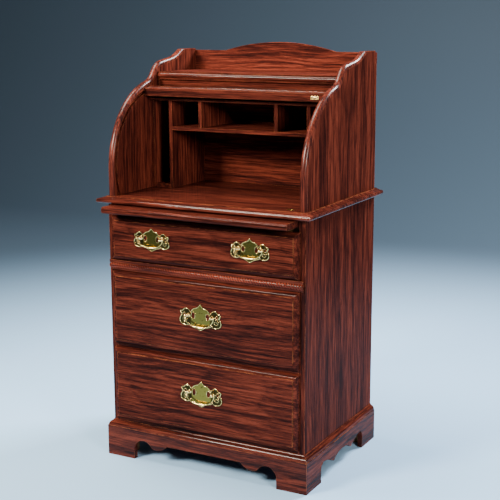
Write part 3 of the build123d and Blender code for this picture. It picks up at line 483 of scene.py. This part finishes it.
def outline_of(arcs, half_width, half_height, steps=14, count=300):
    """The closed outline as count evenly spaced points: each arc is the circle
    through its three points, and the left half mirrors the right."""
    a, b, c = (arcs[:, i] * (half_width, half_height) for i in range(3))
    sq_a, sq_b, sq_c = ((p ** 2).sum(axis=1) for p in (a, b, c))
    d = 2 * (a[:, 0] * (b[:, 1] - c[:, 1]) + b[:, 0] * (c[:, 1] - a[:, 1]) + c[:, 0] * (a[:, 1] - b[:, 1]))
    middle = np.stack([
        (sq_a * (b[:, 1] - c[:, 1]) + sq_b * (c[:, 1] - a[:, 1]) + sq_c * (a[:, 1] - b[:, 1])) / d,
        (sq_a * (c[:, 0] - b[:, 0]) + sq_b * (a[:, 0] - c[:, 0]) + sq_c * (b[:, 0] - a[:, 0])) / d], axis=1)
    start, past, end = (np.arctan2(p[:, 1] - middle[:, 1], p[:, 0] - middle[:, 0]) for p in (a, b, c))
    to_past, to_end = (past - start) % (2 * np.pi), (end - start) % (2 * np.pi)
    swing = np.where(to_past < to_end, to_end, to_end - 2 * np.pi)
    angle = start[:, None] + swing[:, None] * np.linspace(0, 1, steps, endpoint=False)[None, :]
    reach = np.linalg.norm(a - middle, axis=1)[:, None]
    half = np.stack([middle[:, :1] + reach * np.cos(angle), middle[:, 1:] + reach * np.sin(angle)],
                    axis=-1).reshape(-1, 2)
    half = np.vstack([half, c[-1:]])
    return spaced(np.vstack([half, half[-2:0:-1] * (-1, 1), half[:1]]), count, True)


def bead_along(path, face_y, thickness, closed, outset=0.0, taper=0.5):
    """A round bead or rod: at each point of the path a circle of the given
    radius stands across the path, on its own normal and on Y. A path that
    runs clockwise can be moved outwards first. An open bead thins to a point
    at both ends, the later the smaller the taper."""
    ahead = np.roll(path, -1, axis=0) - np.roll(path, 1, axis=0)
    if not closed:
        ahead[0], ahead[-1] = path[1] - path[0], path[-1] - path[-2]
    ahead /= np.linalg.norm(ahead, axis=1)[:, None]
    normal = np.stack([ahead[:, 1], -ahead[:, 0]], axis=-1)
    line = path - normal * outset
    if closed and outset:
        for _ in range(4):
            line = (np.roll(line, 1, axis=0) + 2 * line + np.roll(line, -1, axis=0)) / 4
    share = np.ones(len(path)) if closed else np.sin(np.linspace(0, np.pi, len(path))) ** taper
    t = np.linspace(0, 2 * np.pi, 10, endpoint=False)[None, :]
    r = (thickness * share)[:, None]
    return np.stack([line[:, :1] + normal[:, :1] * r * np.cos(t), face_y - r * np.sin(t),
                     line[:, 1:] + normal[:, 1:] * r * np.cos(t)], axis=-1)


def oval(x, z, half_x, half_z, count=40):
    """Points round an ellipse."""
    t = np.linspace(0, 2 * np.pi, count, endpoint=False)
    return np.stack([x + half_x * np.cos(t), z + half_z * np.sin(t)], axis=-1)


def scroll(x, z, start_radius, end_radius, side, turns=1.35, count=60):
    """A spiral whose radius shrinks evenly as it turns inwards."""
    s = np.linspace(0, 1, count)
    t = np.pi / 2 - side * 2 * np.pi * turns * s
    reach = start_radius + (end_radius - start_radius) * s
    return np.stack([x + reach * np.cos(t), z + reach * np.sin(t)], axis=-1)


def bow(half_width, drop, pin_from, count=160):
    """The hanging rod's line, evenly spaced: a short pin run inwards at each
    end, and between them |x / half width| ** 2.6 + |z / drop| ** 1.6 = 1."""
    t = np.linspace(0, np.pi, 400)
    x = -half_width * np.sign(np.cos(t)) * np.abs(np.cos(t)) ** (2 / 2.6)
    z = -drop * np.abs(np.sin(t)) ** (2 / 1.6)
    line = spaced(np.vstack([[-pin_from, 0], np.stack([x, z], axis=-1), [pin_from, 0]]), count, False)
    for _ in range(3):
        line[1:-1] = (line[:-2] + 2 * line[1:-1] + line[2:]) / 4
    return line


# Places and sizes on a plate as shares of its half width and half height.
eye_at, eye_share = (0.81, 0.13), 0.068
slot_at, slot_shares = (0.36, 0.10), (0.085, 0.25)
scroll_at, scroll_shares = (0.76, -0.27), (0.13, 0.035)
rim_r, hole_rim_r, scroll_r, hole_rim_gap = 0.0012, 0.0007, 0.0009, 0.0008
rod_r, rod_neck_r, pivot_rise, pin_reach = 0.0021, 0.0017, 0.004, 0.0035
swell_h, swell_share = 0.0011, 0.30
collar_h, collar_w, collar_share = 0.0007, 0.0014, 0.42

for tag, half_w, post_x, bails in (
    ("low", 0.063, 0.037, ("bail_low",)), ("mid", 0.063, 0.037, ("bail_mid",)),
    ("top", 0.055, 0.033, ("bail_top_left", "bail_top_right")),
):
    plate_low, plate_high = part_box(f"pull_plate_{tag}")
    face_y = plate_low[1]
    half_h = (plate_high[2] - plate_low[2]) / 2
    plate_z = (plate_high[2] + plate_low[2]) / 2
    for bail in bails:
        bail_low, bail_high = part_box(bail)
        plate_x = (bail_low[0] + bail_high[0]) / 2
        rim = outline_of(plate_arcs, half_w, half_h) + (plate_x, plate_z)
        grids = [(bead_along(rim, face_y, rim_r, True, outset=rim_r), True, True)]
        for side in (-1, 1):
            eye = oval(plate_x + side * eye_at[0] * half_w, plate_z + eye_at[1] * half_h,
                       eye_share * half_w + hole_rim_gap, eye_share * half_w + hole_rim_gap)
            hand_slot = oval(plate_x + side * slot_at[0] * half_w, plate_z + slot_at[1] * half_h,
                             slot_shares[0] * half_w + hole_rim_gap, slot_shares[1] * half_h + hole_rim_gap)
            curl = scroll(plate_x + side * scroll_at[0] * half_w, plate_z + scroll_at[1] * half_h,
                          scroll_shares[0] * half_w, scroll_shares[1] * half_w, side)
            grids += [(bead_along(eye, face_y, hole_rim_r, True), True, True),
                      (bead_along(hand_slot, face_y, hole_rim_r, True), True, True),
                      (bead_along(curl, face_y, scroll_r, False), False, True)]
        relief = surface(f"pull_relief_{bail[5:]}", grids)
        relief.data.materials.append(bright_brass)
        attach(relief, f"drawer_{tag}")
        rod_y, rod_z = (bail_low[1] + bail_high[1]) / 2, plate_z + pivot_rise
        arm, drop = (bail_high[0] - bail_low[0]) / 2 - rod_r, rod_z - bail_low[2] - rod_r
        rod = bow(arm, drop, post_x + pin_reach)
        swell = swell_h * np.exp(-(rod[:, 0] / (swell_share * arm)) ** 2)
        collars = collar_h * np.exp(-((np.abs(rod[:, 0]) - collar_share * arm) / collar_w) ** 2)
        thickness = rod_neck_r + swell + collars * (rod[:, 1] < -0.5 * drop)
        handle = surface(f"handle_{bail[5:]}", [
            (bead_along(rod + (plate_x, rod_z), rod_y, thickness, False, taper=0.08), False, True)])
        handle.data.materials.append(bail_brass)
        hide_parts(bail)
        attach(handle, bail)
    dress(f"pull_plate_{tag}", brass(f"brass_plate_{tag}", (0.215, 0.160, 0.032), (0.016, 0.012, 0.005),
                                     0.22, 0.04, (abs(plate_x), half_w)))
    dress(f"pull_posts_{tag}", bright_brass)

# ---------------------------------------------------------------------
# Writing slide and slab: a thin slide with a moulded front edge, under the
# fixed writing slab, whose top is rubbed down and polished.
# ---------------------------------------------------------------------
board("writing_slide", along_x_flat, glossy)
board("slide_front_edge", along_x, toned(satin, 1.1))
board("writing_slab", along_x_flat, toned(polished, 1.1))
dress("catch_strike", catch_brass)

# ---------------------------------------------------------------------
# Hutch: two scrolled mahogany sides with a bullnose bead round the curve, a
# back panel, an arched crest board and a small moulded shelf.
# ---------------------------------------------------------------------
# Each piece's tones times its share: the left side, crest board and top shelf lighter than the right side and
# back.
for node, grain, tone_share in (
    ("hutch_side_left", along_z, 1.35), ("hutch_side_right", along_z, 1.0),
    ("hutch_back", along_z_front, 1.0), ("crest_board", along_x, 1.7),
    ("top_shelf", along_x_flat, 1.3), ("shelf_cleats", along_z, 1.0),
):
    board(node, grain, toned(satin, tone_share))
for node in ("hutch_nosing_left", "hutch_nosing_right"):
    board(node, along_z, {**toned(glossy, 1.5), "coat": 0.42, "coat_roughness": 0.25})
board("shelf_moulding", along_x, glossy)
board("shelf_fascia", along_x, glossy)

# ---------------------------------------------------------------------
# Curtain: narrow mahogany slats glued side by side on a cotton canvas, with a
# heavier lift rail at the lower edge that carries a small brass catch.
# ---------------------------------------------------------------------
board("tambour_slats", along_x_flat, glossy)
board("tambour_rail", along_x, glossy)
dress("rail_catch", bright_brass)

curtain_centre_y, curtain_centre_z, canvas_radius, thread_turns = 0.018, 0.836, 0.2, 2200.0
canvas, cloth, cloth_shader = new_material("cotton_canvas")
cloth_spot = wire(cloth, "ShaderNodeTexCoord").outputs["Object"]
cloth_parts = wire(cloth, "ShaderNodeSeparateXYZ", {0: cloth_spot}).outputs
round_centre = sum_up(cloth, "ARCTAN2", sum_up(cloth, "SUBTRACT", cloth_parts[2], curtain_centre_z),
                      sum_up(cloth, "SUBTRACT", cloth_parts[1], curtain_centre_y))
warp = sum_up(cloth, "SINE", sum_up(cloth, "MULTIPLY", cloth_parts[0], thread_turns))
weft = sum_up(cloth, "SINE", sum_up(cloth, "MULTIPLY", round_centre, thread_turns * canvas_radius))
weave = sum_up(cloth, "MULTIPLY_ADD", sum_up(cloth, "MULTIPLY", warp, weft), 0.5, 0.5)
cloth_bump = wire(cloth, "ShaderNodeBump", {"Strength": 0.6, "Distance": 0.0004, "Height": weave})
feed(cloth, cloth_shader, {
    "Base Color": ramped(cloth, weave, ((0.0, (0.24, 0.19, 0.12)), (1.0, (0.46, 0.39, 0.27)))),
    "Roughness": 0.9, "Normal": cloth_bump.outputs[0]})
dress("tambour_canvas", canvas)

# ---------------------------------------------------------------------
# Pigeonholes: thin mahogany partitions housed into a shelf and a top, with
# two slots over their own floors and a plain back behind.
# ---------------------------------------------------------------------
for node, grain in (
    ("pigeon_ends", along_z), ("pigeon_dividers", along_z), ("cubby_dividers", along_z),
    ("pigeon_shelf", along_x_flat), ("pigeon_top", along_x_flat), ("slot_floors", along_y_flat),
    ("pigeon_back_lower", along_x), ("pigeon_back_upper", along_x),
):
    board(node, grain, toned(satin, 1.35))
